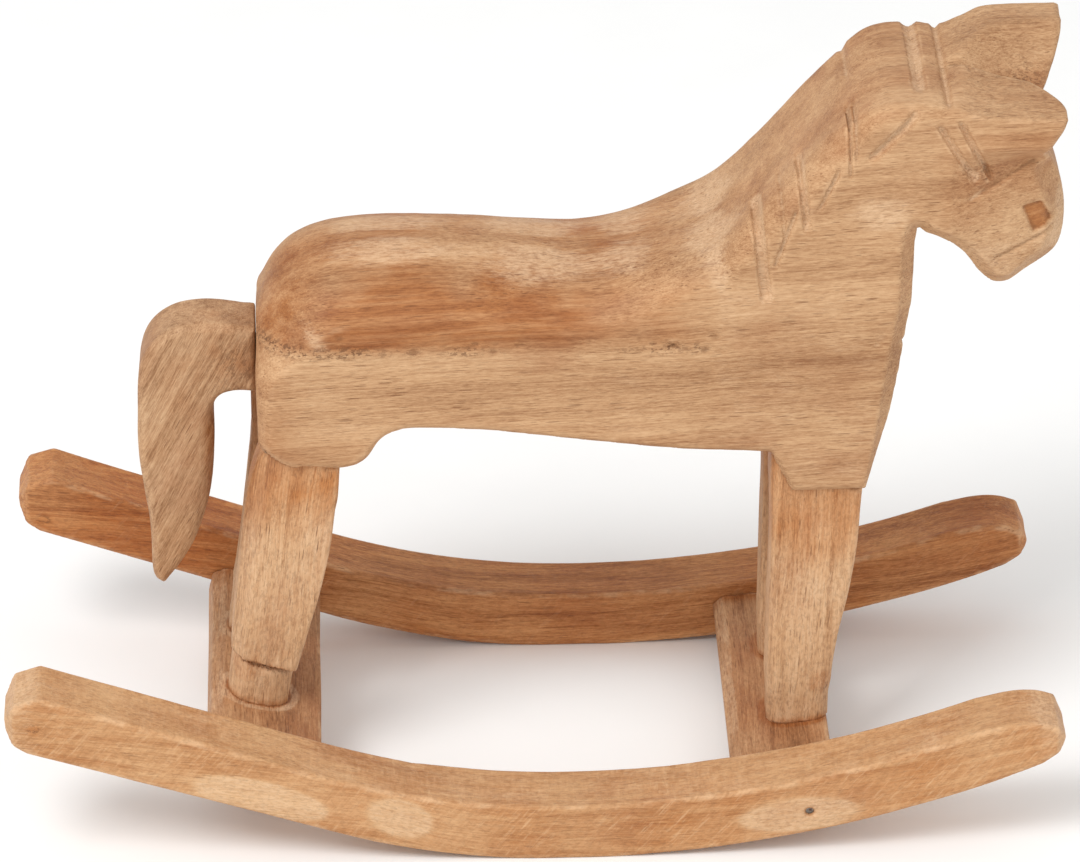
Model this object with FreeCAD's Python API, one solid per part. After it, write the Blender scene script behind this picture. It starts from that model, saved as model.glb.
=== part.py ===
"""Carved wooden rocking horse.

Frame: +X to the horse's head, +Y to its left side, +Z up, millimetres.
The origin is on the floor, in the middle of the object's length and width.
"""
import FreeCAD, Part
import math
import os

Vec = FreeCAD.Vector

# Driving dimensions. In a pair (x, z) the values are places in the side view.
BODY_HALF = 30.0            # half the thickness of the body plank
RUMP_X = -79.3              # back of the rump
CREST_Z = 171.0             # highest line of the back
HEAD_TOP = 227.8            # top of the ears above the floor
EAR_TIP_X = 153.2
BACK_ARCH = (30.0, 20.5)    # width and height of the rounding on each side of the back
NECK_CORNER = (14.0, 12.0)
HEAD_CORNER = (6.0, 6.0)
RUMP_CORNER_SIZE = (4.0, 4.0)
NECK_ANGLE = 44.5           # slope of the neck, degrees
CHEEK_X = 118.0             # the head narrows from here to the muzzle
MUZZLE_HALF = 20.0
NOTCH_APEX_X = 140.0        # where the cut between the ears ends
NOTCH_HALF = 19.0           # half the width of that cut at the ear tips
NOTCH_FLOOR = 209.0
EAR_VALLEY = ((112.0, 226.4), (156.0, 200.5))     # bottom line of the valley between the ears
VALLEY_SLOPE = 1.64         # rise of the valley's walls for each unit of width
RIGHT_EAR_TOP = [(108.0, 224.0), (120.0, 221.2), (131.0, 219.2), (158.0, 218.4)]    # carved lower
CUT_DEPTH = 1.6             # depth of the carved mane and bridle lines

TAIL_HALF = 9.5             # half the thickness of the tail
TAIL_DOWEL_LENGTH = 30.0
TAIL_DOWEL_Z = 134.0

LEG_INNER = 10.0            # inner face of each leg, from the middle plane
LEG_OUTER = 27.0            # outer face of each leg
LAP_TOP = 120.0             # top of the lap that goes up behind the body's skin
RIGHT_LAP_BACK = (-76.0, 113.0)
LEFT_LAP_BACK = (-81.3, 100.0)    # this leg stands proud of the rump
HOOF_STEP = 3.0             # how far the hoof stands back under the rear leg's outer layer
HOOF_TOP = 43.0
DOWEL_RADIUS = 4.0
LEG_DOWEL_LENGTH = 36.0
FRONT_DOWEL_X = 80.5
REAR_DOWEL_X = -68.5

RUNNER_INNER = 49.0
RUNNER_OUTER = 69.0
RUNNER_HEIGHT = 18.3
LOW_X = 7.0                 # the lowest point of the runner's curve
FRONT_RADIUS = 342.0        # rocking curve ahead of the lowest point
REAR_RADIUS = 212.0         # rocking curve behind it
REAR_SLOPE = 0.33           # slope of the straight tail of the runner
LEFT_PITCH = 1.6            # the left runner is nailed on this much nose down, degrees
RUNNER_REACH = 153.6        # the runners reach this far from the middle
WORN_DEPTH = 0.45           # wood worn flat at the lowest point, so the horse stands still

BOARD_THICK = 9.0
FRONT_BOARD = {"x": 72.0, "top": 18.0, "width": 30.0, "tilt": 6.0}
REAR_BOARD = {"x": -78.0, "top": 26.8, "width": 33.0, "tilt": -13.5}

FRONT_FOOT_X = 78.0
REAR_FOOT_X = -79.5
SCREW_RADIUS = 2.0
SCREW_LENGTH = 32.0
SCREW_HEAD = (4.0, 2.6)     # radius and height of the countersunk head
SCREW_TIP = 4.0
NAIL_RADIUS = 1.2
NAIL_LENGTH = 42.0
NAIL_SINK = 1.5             # nail heads are punched this far under the face
NAIL_SPREAD = 7.0           # each nail's distance from the board's middle

# Side view of the body: torso, neck, head and ears are sawn from one plank
RUMP_BACK = [(RUMP_X, 117.0), (RUMP_X, 149.0)]
BACK_LINE = [(RUMP_X, 149.0), (-71.5, 163.5), (-52.0, 170.8), (-20.0, 170.4),
             (12.0, 168.0), (36.0, 170.4), (52.0, 175.5)]
NECK_LINE = [(52.0, 175.5), (67.0, 191.0), (84.0, 210.5), (100.0, 221.0), (117.0, 222.5)]
EAR_TOP = [(117.0, 222.5), (131.0, 226.8), (EAR_TIP_X - 2.0, HEAD_TOP)]
EAR_FRONT = [(EAR_TIP_X - 2.0, HEAD_TOP), (EAR_TIP_X, 224.0), (145.3, 206.0)]
FACE_LINE = [(145.3, 206.0), (150.6, 193.0), (152.2, 180.0), (150.0, 170.0),
             (142.6, 165.0), (135.0, 162.1)]
JAW_LINE = [(135.0, 162.1), (129.0, 164.3), (122.8, 173.1), (110.6, 181.0)]
CHEST_LINE = [(110.6, 181.0), (108.8, 161.0), (105.3, 135.0), (96.5, 98.2)]
FRONT_STUB = [(96.5, 98.2), (74.5, 98.2), (68.2, 111.2)]
BELLY_LINE = [(68.2, 111.2), (19.0, 115.8), (-15.0, 120.3), (-37.0, 121.2)]
FLANK_LINE = [(-37.0, 121.2), (-43.0, 118.5), (-47.5, 111.6), (-55.0, 108.4)]
REAR_STUB = [(-55.0, 108.4), (-68.5, 108.8)]
RUMP_CORNER = [(-68.5, 108.8), (-75.6, 111.0), (RUMP_X, 117.0)]

# Carved V cuts on both faces: start, end and width
CARVED_LINES = [((62.5, 192.0), (65.7, 163.0), 5.0),
                ((74.5, 208.5), (77.0, 186.0), 3.0),
                ((68.7, 174.0), (74.6, 190.5), 2.2),
                ((81.0, 191.5), (86.5, 203.5), 2.2),
                ((89.7, 219.0), (89.9, 201.4), 3.0),
                ((94.6, 207.3), (107.7, 219.0), 2.6),
                ((114.0, 215.9), (125.0, 198.2), 2.4),
                ((119.4, 217.3), (129.3, 198.1), 2.4)]

TAIL_OUTER = [(RUMP_X, 144.0), (-95.0, 145.9), (-108.0, 141.5), (-113.6, 129.0), (-114.2, 104.0),
              (-111.0, 78.0), (-111.0, 62.0), (-107.7, 57.5)]
TAIL_INNER = [(-107.7, 57.5), (-97.2, 75.0), (-92.6, 94.0), (-91.8, 117.5)]
TAIL_HOOK = [(-91.8, 117.5), (-90.6, 121.8), (-86.4, 123.3), (RUMP_X, 123.3)]

FRONT_LEG = [(69.0, LAP_TOP), (69.0, 60.0), (68.4, 0.0), (87.4, 0.0), (92.6, 62.0), (95.6, 98.2),
             (92.0, 98.2), (92.0, LAP_TOP)]
REAR_LEG = [(-89.6, 36.0), (-92.0, 0.0), (-76.0, 0.0), (-68.3, 42.0), (-59.0, 79.0),
            (-55.6, 108.6), (-59.0, 108.6), (-59.0, LAP_TOP)]

RUNNER_REAR_END = [(-143.0, 58.0), (-150.5, 55.5), (-RUNNER_REACH, 49.5), (-151.0, 42.5)]
RUNNER_FRONT_END = [(128.0, 40.9), (145.0, 43.4), (150.8, 41.8), (153.4, 36.8), (150.5, 32.2)]


def at(x, z, y=0.0):
    return Vec(x, y, z)


def line(a, b):
    return Part.LineSegment(at(*a), at(*b)).toShape()


def chain(points):
    """Straight edges through the points."""
    return [line(a, b) for a, b in zip(points, points[1:])]


def curve(points):
    """A smooth curve through the points."""
    spline = Part.BSplineCurve()
    spline.interpolate([at(*p) for p in points])
    return spline.toShape()


def arc(low_z, radius, end_x):
    """An arc from the runner's lowest point to end_x, with its centre above that point."""
    points = []
    for part in (0.0, 0.5, 1.0):
        across = (end_x - LOW_X) * part
        points.append(at(LOW_X + across, low_z + radius - math.sqrt(radius ** 2 - across ** 2)))
    return Part.Arc(*points).toShape()


def plate(edges, low_y, high_y):
    """A flat plate with the given side outline, between two Y planes."""
    face = Part.Face(Part.Wire(Part.__sortEdges__(edges)))
    solid = face.extrude(Vec(0, high_y - low_y, 0))
    solid.translate(Vec(0, low_y, 0))
    return solid


def flat_prism(points, low_z, high_z):
    """An upright prism with the given plan outline."""
    outline = [Vec(x, y, low_z) for x, y in points]
    return Part.Face(Part.makePolygon(outline + outline[:1])).extrude(Vec(0, 0, high_z - low_z))


def arch(origin, slope, length, depth, corner):
    """A bar along the given slope whose long upper edges are rounded by the corner's width and height."""
    wide, high = corner
    half = BODY_HALF
    if wide >= half:
        top = [Part.Arc(Vec(0, -half, -high), Vec(0, 0, 0), Vec(0, half, -high)).toShape()]
    else:
        share = 1.0 - math.sqrt(0.5)
        left = [Vec(0, -half, -high), Vec(0, wide * share - half, -high * share), Vec(0, wide - half, 0)]
        right = [Vec(0, -p.y, p.z) for p in reversed(left)]
        top = [Part.Arc(*left).toShape(), Part.LineSegment(left[-1], right[0]).toShape(),
               Part.Arc(*right).toShape()]
    feet = [Vec(0, half, -high), Vec(0, half, -depth), Vec(0, -half, -depth), Vec(0, -half, -high)]
    sides = [Part.LineSegment(a, b).toShape() for a, b in zip(feet, feet[1:])]
    bar = Part.Face(Part.Wire(Part.__sortEdges__(top + sides))).extrude(Vec(length, 0, 0))
    bar.rotate(Vec(0, 0, 0), Vec(0, -1, 0), slope)
    bar.translate(at(*origin))
    return bar


def rod(radius, start, direction, length):
    return Part.makeCylinder(radius, length, Vec(*start), Vec(*direction))


def mirrored(shape):
    """The same shape on the horse's other side."""
    return shape.mirror(Vec(0, 0, 0), Vec(0, 1, 0))


def one_solid(shape):
    if len(shape.Solids) != 1:
        raise ValueError("expected one solid, got %d" % len(shape.Solids))
    return shape.Solids[0]


def rounded_stock():
    """What the carver's rounding leaves: a wide arch on the back, less on neck, head and rump."""
    back = arch((-85.0, CREST_Z), 0.0, 145.0, 80.0, BACK_ARCH)
    neck = arch((28.0, 153.5), NECK_ANGLE, 118.0, 150.0, NECK_CORNER)
    head = arch((86.0, HEAD_TOP), 0.0, 75.0, 150.0, HEAD_CORNER)
    plan = arch((0.0, 0.0), 0.0, 250.0, 240.0, RUMP_CORNER_SIZE)
    plan.rotate(Vec(0, 0, 0), Vec(0, 1, 0), -90)
    plan.translate(Vec(RUMP_X, 0, 0))
    return back.fuse([neck, head]).common(plan)


def carved_line(start, end, width):
    """A narrow V wedge that scores the face at Y = -BODY_HALF."""
    along = at(*end) - at(*start)
    section = [Vec(0, 0, -0.5 * width), Vec(0, 0, 0.5 * width), Vec(0, CUT_DEPTH, 0)]
    wedge = Part.Face(Part.makePolygon(section + section[:1])).extrude(Vec(along.Length, 0, 0))
    wedge.rotate(Vec(0, 0, 0), Vec(0, -1, 0), math.degrees(math.atan2(along.z, along.x)))
    wedge.translate(at(start[0], start[1], -BODY_HALF))
    return wedge


def ear_valley():
    """A V-shaped bar along the valley's bottom line."""
    start, end = [at(*place) for place in EAR_VALLEY]
    rise = BODY_HALF * VALLEY_SLOPE
    section = [start, start + Vec(0, BODY_HALF, rise), start + Vec(0, -BODY_HALF, rise), start]
    return Part.Face(Part.makePolygon(section)).extrude(end - start)


def body_block(legs, holes):
    """The plank, carved, with housings for the legs' laps and holes for the dowels."""
    edges = chain(RUMP_BACK) + [curve(BACK_LINE), curve(NECK_LINE), curve(EAR_TOP)]
    edges += chain(EAR_FRONT) + [curve(FACE_LINE), curve(JAW_LINE), curve(CHEST_LINE)]
    edges += chain(FRONT_STUB) + [curve(BELLY_LINE), curve(FLANK_LINE)]
    edges += chain(REAR_STUB) + [curve(RUMP_CORNER)]
    block = plate(edges, -BODY_HALF, BODY_HALF).common(rounded_stock())
    beyond = EAR_TIP_X + 1.0
    for side in (-1, 1):
        cheek = [(CHEEK_X, side * BODY_HALF), (beyond, side * MUZZLE_HALF),
                 (beyond, side * 2 * BODY_HALF), (CHEEK_X, side * 2 * BODY_HALF)]
        block = block.cut(flat_prism(cheek, 155.0, 205.0))
    notch = [(NOTCH_APEX_X, 0.0), (beyond, -NOTCH_HALF), (beyond, NOTCH_HALF)]
    block = block.cut(flat_prism(notch, NOTCH_FLOOR, HEAD_TOP + 1.0))
    above = [(RIGHT_EAR_TOP[-1][0], HEAD_TOP + 1.0), (RIGHT_EAR_TOP[0][0], HEAD_TOP + 1.0)]
    ear_slope = chain(RIGHT_EAR_TOP + above + RIGHT_EAR_TOP[:1])
    block = block.cut(plate(ear_slope, -BODY_HALF - 1.0, 0.0)).cut(ear_valley())
    for start, end, width in CARVED_LINES:
        groove = carved_line(start, end, width)
        block = block.cut(groove).cut(mirrored(groove))
    return one_solid(block.cut(legs + holes))


def tail():
    edges = [curve(TAIL_OUTER), curve(TAIL_INNER), curve(TAIL_HOOK)]
    edges += chain([TAIL_HOOK[-1], TAIL_OUTER[0]])
    return plate(edges, -TAIL_HALF, TAIL_HALF)


def tail_dowel():
    return rod(DOWEL_RADIUS, (RUMP_X - 0.4 * TAIL_DOWEL_LENGTH, 0.0, TAIL_DOWEL_Z),
               (1, 0, 0), TAIL_DOWEL_LENGTH)


def leg_dowel(x, side):
    middle_y = 0.5 * side * (LEG_INNER + LEG_OUTER)
    return rod(DOWEL_RADIUS, (x, middle_y, LAP_TOP - 0.5 * LEG_DOWEL_LENGTH), (0, 0, 1),
               LEG_DOWEL_LENGTH)


def board_top(board, x):
    """Height of the board's upper face at x."""
    return board["top"] + (x - board["x"]) * math.tan(math.radians(board["tilt"]))


def tilted_block(board, low_z, high_z, low_y, high_y, reach):
    """A block that follows the board's tilt; its heights are measured from the board's upper face."""
    size = (2 * reach, high_y - low_y, high_z - low_z)
    block = Part.makeBox(*size, Vec(-reach, low_y, low_z))
    block.rotate(Vec(0, 0, 0), Vec(0, -1, 0), board["tilt"])
    block.translate(at(board["x"], board["top"]))
    return block


def cross_board(board):
    return tilted_block(board, -BOARD_THICK, 0.0, -RUNNER_INNER, RUNNER_INNER, 0.5 * board["width"])


def leg(outline, board, side, stepped):
    """One leg, cut off at its foot along the board; a rear leg's hoof stands back under a step."""
    shank = plate(chain(outline + outline[:1]), -LEG_OUTER, -LEG_INNER)
    shank = shank.cut(tilted_block(board, -60.0, 0.0, -BODY_HALF, 0.0, 60.0))
    if stepped:
        step_high = HOOF_TOP - board["top"]
        shank = shank.cut(tilted_block(board, 0.0, step_high, -BODY_HALF, HOOF_STEP - LEG_OUTER, 40.0))
    shank = one_solid(shank)
    return mirrored(shank) if side > 0 else shank


def foot_screw(board, foot_x, side):
    """A countersunk wood screw, up through the board into the foot."""
    head_radius, head_high = SCREW_HEAD
    plain = SCREW_LENGTH - head_high - SCREW_TIP
    screw = Part.makeCone(head_radius, SCREW_RADIUS, head_high)
    screw = screw.fuse(Part.makeCylinder(SCREW_RADIUS, plain, Vec(0, 0, head_high)))
    screw = screw.fuse(Part.makeCone(SCREW_RADIUS, 0.4, SCREW_TIP, Vec(0, 0, head_high + plain)))
    screw = one_solid(screw.removeSplitter())
    screw.translate(Vec((foot_x - board["x"]) / math.cos(math.radians(board["tilt"])), 0, -BOARD_THICK))
    screw.rotate(Vec(0, 0, 0), Vec(0, -1, 0), board["tilt"])
    screw.translate(at(board["x"], board["top"], 0.5 * side * (LEG_INNER + LEG_OUTER)))
    return screw


def runner():
    """The right rocker: two arcs meet at the lowest point, and the rear third runs straight."""
    rear_x = LOW_X - REAR_RADIUS * math.sin(math.atan(REAR_SLOPE))
    rear_z = REAR_RADIUS * (1.0 - math.cos(math.atan(REAR_SLOPE)))
    front_x = RUNNER_FRONT_END[-1][0] - 4.0
    front_z = FRONT_RADIUS - math.sqrt(FRONT_RADIUS ** 2 - (front_x - LOW_X) ** 2)
    top_x, top_z = RUNNER_FRONT_END[0]
    top_radius = ((top_x - LOW_X) ** 2 + (top_z - RUNNER_HEIGHT) ** 2) / (2 * (top_z - RUNNER_HEIGHT))
    heel = (-147.0, rear_z + REAR_SLOPE * (rear_x + 147.0))
    edges = [arc(0.0, FRONT_RADIUS, front_x), arc(0.0, REAR_RADIUS, rear_x)]
    edges += [arc(RUNNER_HEIGHT, top_radius, top_x), arc(RUNNER_HEIGHT, REAR_RADIUS, rear_x)]
    edges += chain([(rear_x, rear_z + RUNNER_HEIGHT)] + RUNNER_REAR_END + [heel, (rear_x, rear_z)])
    edges += chain(RUNNER_FRONT_END + [(front_x, front_z)])
    return plate(edges, -RUNNER_OUTER, -RUNNER_INNER)


def worn(rocker):
    """The rocker set down on the floor, with its lowest line worn flat."""
    rocker.translate(Vec(0, 0, -WORN_DEPTH - rocker.BoundBox.ZMin))
    below = plate(chain([(-200, 0), (200, 0), (200, -10), (-200, -10), (-200, 0)]), -100.0, 100.0)
    return one_solid(rocker.cut(below))


def left_runner():
    """The same rocker on the other side, nailed on nose down."""
    rocker = mirrored(runner())
    rocker.rotate(at(LOW_X, 0.0), Vec(0, 1, 0), LEFT_PITCH)
    rocker.translate(Vec(RUNNER_REACH - rocker.BoundBox.XMax, 0, 0))
    return worn(rocker)


def board_nails(board, side, sink):
    """Two nails through the runner into the board's end; sink is how far the heads are punched in."""
    nails = []
    for offset in (-NAIL_SPREAD, NAIL_SPREAD):
        x = board["x"] + offset
        z = board_top(board, x) - 0.5 * BOARD_THICK
        start = (x, side * (RUNNER_OUTER - sink), z)
        nails.append(rod(NAIL_RADIUS, start, (0, -side, 0), NAIL_LENGTH - sink))
    return nails


def horse():
    """Every node by name."""
    nodes = {"tail": tail(), "tail_dowel": tail_dowel()}
    nodes["right_runner"] = worn(runner())
    nodes["left_runner"] = left_runner()
    boards = {"front": FRONT_BOARD, "rear": REAR_BOARD}
    feet = {"front": FRONT_FOOT_X, "rear": REAR_FOOT_X}
    dowel_x = {"front": FRONT_DOWEL_X, "rear": REAR_DOWEL_X}
    laps = {-1: RIGHT_LAP_BACK, 1: LEFT_LAP_BACK}
    legs = []
    dowels = [nodes["tail_dowel"]]
    for side, side_name in ((-1, "right"), (1, "left")):
        lap = laps[side]
        outlines = {"front": FRONT_LEG, "rear": [(lap[0], LAP_TOP), lap] + REAR_LEG}
        for end, board in boards.items():
            name = end + "_" + side_name
            shank = leg(outlines[end], board, side, end == "rear")
            dowel = leg_dowel(dowel_x[end], side)
            screw = foot_screw(board, feet[end], side)
            legs.append(shank)
            dowels.append(dowel)
            nodes[name + "_leg"] = one_solid(shank.cut([dowel, screw]))
            nodes[name + "_leg_dowel"] = dowel
            nodes[name + "_foot_screw"] = screw
            nodes[name + "_board_nails"] = Part.makeCompound(board_nails(board, side, NAIL_SINK))
            bored = nodes[side_name + "_runner"].cut(board_nails(board, side, 0.0))
            nodes[side_name + "_runner"] = one_solid(bored)
    for end, board in boards.items():
        fasteners = board_nails(board, -1, 0.0) + board_nails(board, 1, 0.0)
        fasteners += [nodes["%s_%s_foot_screw" % (end, side)] for side in ("right", "left")]
        nodes[end + "_board"] = one_solid(cross_board(board).cut(fasteners))
    nodes["tail"] = one_solid(nodes["tail"].cut(nodes["tail_dowel"]))
    nodes["body_block"] = body_block(legs, dowels)
    return nodes


if __name__ == "__main__":
    os.makedirs("parts", exist_ok=True)
    for node_name, shape in sorted(horse().items()):
        shape.exportStep("parts/%s.step" % node_name)
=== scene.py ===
import math
import bpy
import numpy as np
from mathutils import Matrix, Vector


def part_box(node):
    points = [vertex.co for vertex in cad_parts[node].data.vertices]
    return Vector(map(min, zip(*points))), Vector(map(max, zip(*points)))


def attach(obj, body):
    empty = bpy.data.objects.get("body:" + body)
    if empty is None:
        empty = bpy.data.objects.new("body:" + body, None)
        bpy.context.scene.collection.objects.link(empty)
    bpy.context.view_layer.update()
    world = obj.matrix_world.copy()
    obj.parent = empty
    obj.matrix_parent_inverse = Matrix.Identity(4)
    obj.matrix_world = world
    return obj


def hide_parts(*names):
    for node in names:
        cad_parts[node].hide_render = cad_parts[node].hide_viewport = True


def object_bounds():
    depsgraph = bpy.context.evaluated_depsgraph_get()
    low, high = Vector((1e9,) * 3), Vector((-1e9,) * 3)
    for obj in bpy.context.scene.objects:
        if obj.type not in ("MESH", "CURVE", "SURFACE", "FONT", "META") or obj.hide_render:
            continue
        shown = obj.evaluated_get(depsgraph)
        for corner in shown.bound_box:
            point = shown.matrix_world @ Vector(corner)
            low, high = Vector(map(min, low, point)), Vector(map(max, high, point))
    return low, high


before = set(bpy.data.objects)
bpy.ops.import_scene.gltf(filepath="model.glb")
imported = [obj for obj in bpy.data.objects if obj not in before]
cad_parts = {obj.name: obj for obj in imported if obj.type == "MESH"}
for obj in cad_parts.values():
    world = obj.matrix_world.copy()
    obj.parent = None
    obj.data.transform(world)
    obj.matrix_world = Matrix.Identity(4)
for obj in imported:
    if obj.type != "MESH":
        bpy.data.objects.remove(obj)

cad_low, cad_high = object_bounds()
MM = 0.001
BODY = "root"


# ---------------------------------------------------------------- shape tools

def box_mm(node):
    """The low and the high corner of a CAD node's box, in millimetres."""
    return [np.array(corner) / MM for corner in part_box(node)]


def smooth_max(a, b, blend):
    """The larger of two distances, with the crease rounded over the blend width."""
    near = np.maximum(blend - np.abs(a - b), 0.0) / blend
    return np.maximum(a, b) + near * near * blend * 0.25


def unit(value):
    return np.clip(value, 0.0, 1.0)


def step(value, low, high):
    """0 below low, 1 above high, smooth between."""
    t = unit((value - low) / (high - low))
    return t * t * (3.0 - 2.0 * t)


def fall(value, low, high):
    """1 below low, 0 above high, smooth between."""
    return 1.0 - step(value, low, high)


def hill(value, centre, radius):
    """1 at the centre, falling smoothly to 0 about two radii away."""
    return np.exp(-((value - centre) / radius) ** 2)


def bump(x, z, centre, radius):
    """A hill in two directions."""
    return np.exp(-((x - centre[0]) / radius[0]) ** 2 - ((z - centre[1]) / radius[1]) ** 2)


def bumps(x, z, places):
    """The sum of hills, each with its amount, centre and radii."""
    return sum(amount * bump(x, z, centre, radius) for amount, centre, radius in places)


class Noise:
    """Smooth random values between -1 and 1 on a lattice, the same every run."""

    def __init__(self, seed):
        self.size = 32
        self.lattice = np.random.default_rng(seed).uniform(-1.0, 1.0, (self.size,) * 3)

    def __call__(self, points, width):
        cells = points / np.asarray(width, float) + 100.37
        low = np.floor(cells).astype(int)
        part = cells - low
        part = part * part * (3.0 - 2.0 * part)
        total = np.zeros(len(points))
        for corner in np.ndindex(2, 2, 2):
            index = tuple((low[:, a] + corner[a]) % self.size for a in range(3))
            share = np.ones(len(points))
            for a in range(3):
                share = share * (part[:, a] if corner[a] else 1.0 - part[:, a])
            total += share * self.lattice[index]
        return total


rough = Noise(7)
chips = Noise(19)


def spread(points, fractal_width):
    """Three octaves of noise."""
    return (rough(points, fractal_width) + 0.5 * chips(points, fractal_width * 0.5)
            + 0.25 * rough(points, fractal_width * 0.23)) / 1.75


def smooth_stroke(points, count=8):
    """A smooth curve through the points (Catmull-Rom)."""
    p = np.asarray(points, float)
    if len(p) == 2:
        return p[:-1]
    p = np.vstack([2 * p[0] - p[1], p, 2 * p[-1] - p[-2]])
    t = np.linspace(0.0, 1.0, count, endpoint=False)[:, None]
    pieces = []
    for a, b, c, d in zip(p, p[1:], p[2:], p[3:]):
        pieces.append(0.5 * (2 * b + (c - a) * t + (2 * a - 5 * b + 4 * c - d) * t ** 2
                             + (3 * b - a - 3 * c + d) * t ** 3))
    return np.vstack(pieces)


def chained(*strokes):
    """Makes each stroke start where the one before ended; the first starts where the last ends."""
    ends = [stroke[-1] for stroke in strokes]
    return [[end] + stroke for end, stroke in zip(ends[-1:] + ends[:-1], strokes)]


def polygon(*corners):
    return chained(*[[corner] for corner in corners])


class Outline:
    """A closed side-view outline as a signed distance: negative inside, millimetres."""

    def __init__(self, strokes, pitch=0.5, margin=6.0):
        edge = np.vstack([smooth_stroke(s) for s in strokes])
        self.low = edge.min(0) - margin
        high = edge.max(0) + margin
        self.pitch = pitch
        self.shape = np.ceil((high - self.low) / pitch).astype(int) + 2
        x = self.low[0] + pitch * np.arange(self.shape[0])
        z = self.low[1] + pitch * np.arange(self.shape[1])
        gx, gz = [g.ravel() for g in np.meshgrid(x, z, indexing="ij")]
        best = np.full(gx.shape, 1e9)
        inside = np.zeros(gx.shape, bool)
        for a, b in zip(edge, np.roll(edge, -1, axis=0)):
            along = b - a
            length = max(along @ along, 1e-12)
            t = unit(((gx - a[0]) * along[0] + (gz - a[1]) * along[1]) / length)
            best = np.minimum(best, (gx - a[0] - t * along[0]) ** 2 + (gz - a[1] - t * along[1]) ** 2)
            if a[1] != b[1]:
                crosses = (gz < a[1]) != (gz < b[1])
                inside ^= crosses & (gx < a[0] + (gz - a[1]) / (b[1] - a[1]) * along[0])
        field = np.where(inside, -1.0, 1.0) * np.sqrt(best)
        self.field = field.reshape(self.shape)

    def __call__(self, x, z):
        u = np.clip((x - self.low[0]) / self.pitch, 0.0, self.shape[0] - 1.001)
        v = np.clip((z - self.low[1]) / self.pitch, 0.0, self.shape[1] - 1.001)
        i, j = u.astype(int), v.astype(int)
        s, t = u - i, v - j
        f = self.field
        return ((f[i, j] * (1 - s) + f[i + 1, j] * s) * (1 - t)
                + (f[i, j + 1] * (1 - s) + f[i + 1, j + 1] * s) * t)


def grid_line(low, high, pitch, fine):
    """Grid places along one axis; fine is (from where, pitch there) or None."""
    if fine is None:
        return np.arange(low - 2 * pitch, high + 3 * pitch, pitch)
    start, small = fine
    coarse = np.arange(low - 2 * pitch, start, pitch)
    return np.concatenate([coarse, np.arange(coarse[-1] + small, high + 3 * small, small)])


def surface_net(shape, low, high, pitch, fine):
    """Quads on the zero level of a signed distance, one vertex in each grid cell that it crosses."""
    axes = [grid_line(a, b, pitch, f) for a, b, f in zip(low, high, fine)]
    size = [len(a) for a in axes]
    values = np.empty(size, np.float32)
    gy, gz = [g.ravel() for g in np.meshgrid(axes[1], axes[2], indexing="ij")]
    for first in range(0, size[0], 24):
        part = axes[0][first:first + 24]
        points = np.column_stack([np.repeat(part, len(gy)), np.tile(gy, len(part)), np.tile(gz, len(part))])
        values[first:first + 24] = shape(points).reshape(len(part), size[1], size[2])
    inside = values < 0
    cells = tuple(n - 1 for n in size)
    total = np.zeros(cells + (3,), np.float32)
    count = np.zeros(cells, np.float32)
    quads = []
    crossings = []
    for axis in range(3):
        ahead = [slice(None)] * 3
        ahead[axis] = slice(1, None)
        back = [slice(None)] * 3
        back[axis] = slice(None, -1)
        v0, v1 = values[tuple(back)], values[tuple(ahead)]
        cross = inside[tuple(back)] != inside[tuple(ahead)]
        t = np.where(cross, v0 / np.where(cross, v0 - v1, 1.0), 0.0)
        crossings.append(cross)
        others = [a for a in range(3) if a != axis]
        for shift in np.ndindex(2, 2):
            pick = [slice(None)] * 3
            for a, s in zip(others, shift):
                pick[a] = slice(s, cells[a] + s)
            hit = cross[tuple(pick)]
            count += hit
            total[..., axis] += t[tuple(pick)] * hit
            for a, s in zip(others, shift):
                total[..., a] += s * hit
    used = count > 0
    ids = np.cumsum(used).reshape(cells) - 1
    place = np.argwhere(used) + total[used] / count[used][:, None]
    vertices = np.column_stack([np.interp(place[:, a], np.arange(size[a]), axes[a]) for a in range(3)])
    for axis, crossing in enumerate(crossings):
        where = np.argwhere(crossing)
        outward = inside[tuple(where.T)]
        b, c = np.eye(3, dtype=int)[[(axis + 1) % 3, (axis + 2) % 3]]
        quad = np.column_stack([ids[tuple((where - back).T)] for back in (b + c, c, 0 * b, b)])
        quads.append(np.where(outward[:, None], quad, quad[:, ::-1]))
    return vertices, np.vstack(quads)


def settle(shape, points, rounds=4):
    """Moves the points onto the zero level of the signed distance."""
    probe = 0.06
    for _ in range(rounds):
        slope = np.empty_like(points)
        for a in range(3):
            offset = np.zeros(3)
            offset[a] = probe
            slope[:, a] = (shape(points + offset) - shape(points - offset)) / (2 * probe)
        steep = np.maximum((slope ** 2).sum(1), 0.05)
        move = -(shape(points) / steep)[:, None] * slope
        length = np.linalg.norm(move, axis=1)
        points = points + move * np.minimum(1.0, 0.5 / np.maximum(length, 1e-9))[:, None]
    return points


def bend_of(vertices, quads):
    """How convex (above 0) or hollow (below 0) the surface is at each vertex, in mm, and its normals."""
    diagonal_a = vertices[quads[:, 2]] - vertices[quads[:, 0]]
    diagonal_b = vertices[quads[:, 3]] - vertices[quads[:, 1]]
    face = np.cross(diagonal_a, diagonal_b)
    normals = np.zeros_like(vertices)
    around = np.zeros_like(vertices)
    number = np.zeros(len(vertices))
    pairs = [(quads[:, a], quads[:, (a + b) % 4]) for a in range(4) for b in (1, 3)]
    for corner in range(4):
        np.add.at(normals, quads[:, corner], face)
    for here, beside in pairs:
        np.add.at(around, here, vertices[beside])
        np.add.at(number, here, 1.0)
    normals /= np.maximum(np.linalg.norm(normals, axis=1), 1e-9)[:, None]
    bend = ((vertices - around / number[:, None]) * normals).sum(1)
    for _ in range(2):
        gathered = np.zeros(len(vertices))
        for here, beside in pairs:
            np.add.at(gathered, here, bend[beside])
        bend = 0.5 * bend + 0.5 * gathered / number
    return bend, normals


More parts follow.
